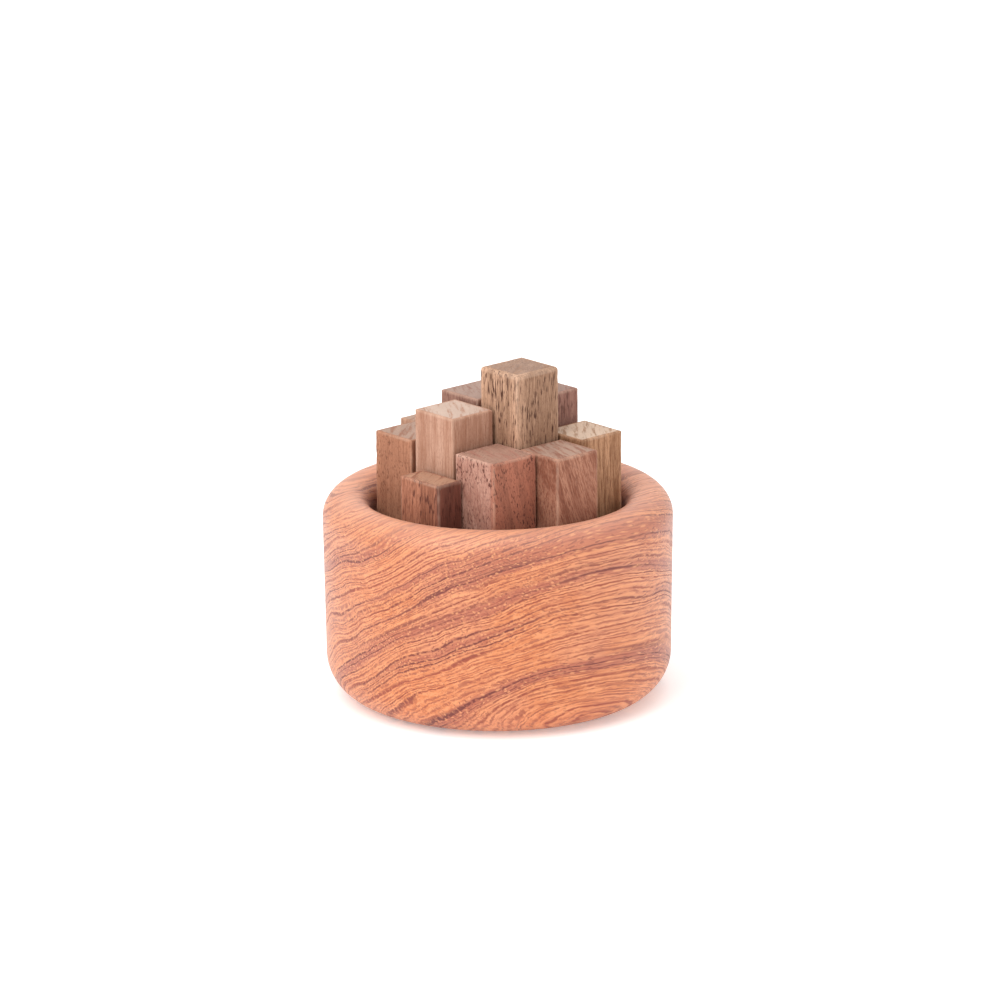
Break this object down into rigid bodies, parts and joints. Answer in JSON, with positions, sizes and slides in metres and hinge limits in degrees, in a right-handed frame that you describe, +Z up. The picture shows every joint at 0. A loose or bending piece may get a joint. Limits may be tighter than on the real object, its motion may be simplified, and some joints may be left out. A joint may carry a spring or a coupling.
{
  "type": "wooden burr puzzle",
  "caption": "Stick burr in a turned wooden bowl: upright square sticks of stepped heights, notched onto hidden ties and locked by a key stick that draws out upwards.",
  "frame": {"origin": "centre of the bowl's flat underside", "axes": "+Z up along the bowl's axis; the rows of sticks run along X; the row nearest -Y is the front row"},
  "size_m": [0.0766, 0.0766, 0.075],
  "materials": {
    "bowl_rosewood": "satin, turned and oiled",
    "orange_brown_wood": "bare, planed and unfinished",
    "pale_tan_wood": "bare, planed and unfinished",
    "rose_brown_wood": "bare, planed and unfinished",
    "olive_tan_wood": "bare, planed and unfinished",
    "mid_brown_wood": "bare, planed and unfinished",
    "red_brown_wood": "bare, planed and unfinished"
  },
  "bodies": {
    "bowl": {"bowl": "bowl_rosewood"},
    "ties": {"lower_front_tie": "mid_brown_wood", "lower_rear_tie": "mid_brown_wood", "upper_front_tie": "mid_brown_wood", "upper_rear_tie": "mid_brown_wood"},
    "key_stick": {"key_stick": "olive_tan_wood"},
    "front_row_left_stick": {"front_row_left_stick": "orange_brown_wood"},
    "front_row_centre_stick": {"front_row_centre_stick": "pale_tan_wood"},
    "front_row_right_stick": {"front_row_right_stick": "rose_brown_wood"},
    "middle_row_left_end_stick": {"middle_row_left_end_stick": "pale_tan_wood"},
    "middle_row_left_stick": {"middle_row_left_stick": "rose_brown_wood"},
    "middle_row_right_end_stick": {"middle_row_right_end_stick": "mid_brown_wood"},
    "rear_row_left_stick": {"rear_row_left_stick": "orange_brown_wood"},
    "rear_row_centre_stick": {"rear_row_centre_stick": "red_brown_wood"},
    "rear_row_right_stick": {"rear_row_right_stick": "olive_tan_wood"},
    "front_slat": {"front_slat": "red_brown_wood"},
    "rear_slat": {"rear_slat": "mid_brown_wood"}
  },
  "joints": [
    {"name": "burr_lift", "type": "slide", "parent": "bowl", "child": "ties", "axis": [0, 0, 1], "range_m": [0, 0.055]},
    {"name": "key_stick_draw", "type": "slide", "parent": "ties", "child": "key_stick", "axis": [0, 0, 1], "range_m": [0, 0.07]},
    {"name": "front_row_left_stick_slide", "type": "slide", "parent": "ties", "child": "front_row_left_stick", "axis": [0, 0, 1], "range_m": [0, 0.006]},
    {"name": "front_row_centre_stick_slide", "type": "slide", "parent": "ties", "child": "front_row_centre_stick", "axis": [0, 0, 1], "range_m": [0, 0.006]},
    {"name": "front_row_right_stick_slide", "type": "slide", "parent": "ties", "child": "front_row_right_stick", "axis": [0, 0, 1], "range_m": [0, 0.006]},
    {"name": "middle_row_left_end_stick_slide", "type": "slide", "parent": "ties", "child": "middle_row_left_end_stick", "axis": [0, 0, 1], "range_m": [0, 0.006]},
    {"name": "middle_row_left_stick_slide", "type": "slide", "parent": "ties", "child": "middle_row_left_stick", "axis": [0, 0, 1], "range_m": [0, 0.006]},
    {"name": "middle_row_right_end_stick_slide", "type": "slide", "parent": "ties", "child": "middle_row_right_end_stick", "axis": [0, 0, 1], "range_m": [0, 0.006]},
    {"name": "rear_row_left_stick_slide", "type": "slide", "parent": "ties", "child": "rear_row_left_stick", "axis": [0, 0, 1], "range_m": [0, 0.006]},
    {"name": "rear_row_centre_stick_slide", "type": "slide", "parent": "ties", "child": "rear_row_centre_stick", "axis": [0, 0, 1], "range_m": [0, 0.006]},
    {"name": "rear_row_right_stick_slide", "type": "slide", "parent": "ties", "child": "rear_row_right_stick", "axis": [0, 0, 1], "range_m": [0, 0.006]},
    {"name": "front_slat_draw", "type": "slide", "parent": "bowl", "child": "front_slat", "axis": [0, 0, 1], "range_m": [0, 0.05]},
    {"name": "rear_slat_draw", "type": "slide", "parent": "bowl", "child": "rear_slat", "axis": [0, 0, 1], "range_m": [0, 0.05]}
  ]
}
